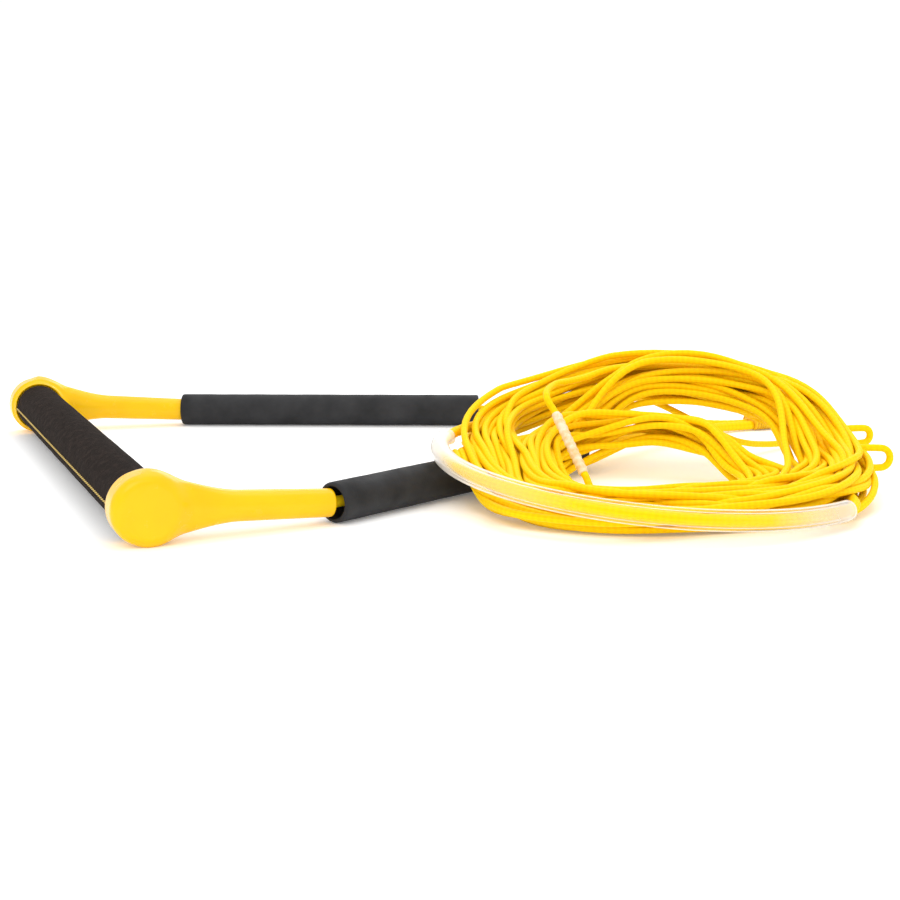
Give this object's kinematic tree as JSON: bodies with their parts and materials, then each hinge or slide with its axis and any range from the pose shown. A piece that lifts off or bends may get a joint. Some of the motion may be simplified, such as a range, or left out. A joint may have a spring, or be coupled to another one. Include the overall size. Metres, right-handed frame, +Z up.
{
  "type": "tow rope handle",
  "caption": "Straight grip bar between two moulded end caps with sleeved foam floats on both rope arms, and a coiled mainline with a tow loop.",
  "frame": {"origin": "on the ground under the middle of the handle: bar, caps and floats, without the rope", "axes": "+Z up, +Y along the bar from the near to the far end cap, +X from the bar toward the rope"},
  "size_m": [0.5223, 0.4844, 0.066],
  "materials": {
    "cap_moulding": "glossy moulded yellow",
    "grip_suede": "mottled dark brown suede",
    "seam_thread": "yellow twisted thread",
    "underlay": "closed-cell foam",
    "aluminium_tube": "drawn tube",
    "plug": "matte",
    "ferrule": "satin",
    "float_foam": "matte black closed-cell foam",
    "rope": "bright yellow braided rope",
    "whipping": "tight yellow whipping",
    "clear_vinyl": "clear flexible tube",
    "shrink_sleeve": "translucent sleeve"
  },
  "bodies": {
    "handle": {"bar_tube": "aluminium_tube", "bar_plug_near": "plug", "bar_plug_far": "plug", "grip_underlay": "underlay", "grip_cover": "grip_suede", "grip_seam_thread": "seam_thread", "end_cap_near": "cap_moulding", "end_cap_far": "cap_moulding", "rope_stopper_near": "ferrule", "rope_stopper_far": "ferrule", "bridle_rope_near": "rope", "bridle_rope_far": "rope", "bridle_splice": "whipping", "leader_rope": "rope", "mainline_coil": "rope", "tow_loop_rope": "rope", "takeoff_sleeve": "shrink_sleeve", "section_loop_lower": "rope", "section_loop_upper": "rope"},
    "near_float": {"float_near": "float_foam"},
    "far_float": {"float_far": "float_foam"},
    "loop_tube": {"tow_loop_tube": "clear_vinyl"}
  },
  "joints": [
    {"name": "near_float_slide", "type": "slide", "parent": "handle", "child": "near_float", "axis": [0.891, 0.454, 0], "range_m": [0, 0.05]},
    {"name": "far_float_slide", "type": "slide", "parent": "handle", "child": "far_float", "axis": [0.9212, -0.3891, 0], "range_m": [0, 0.06]},
    {"name": "loop_tube_slide", "type": "hinge", "parent": "handle", "child": "loop_tube", "pos_m": [0.14344, -0.1724, 0.0189], "axis": [0.0518, -0.0688, 0.9963], "range_deg": [-15, 0]}
  ]
}
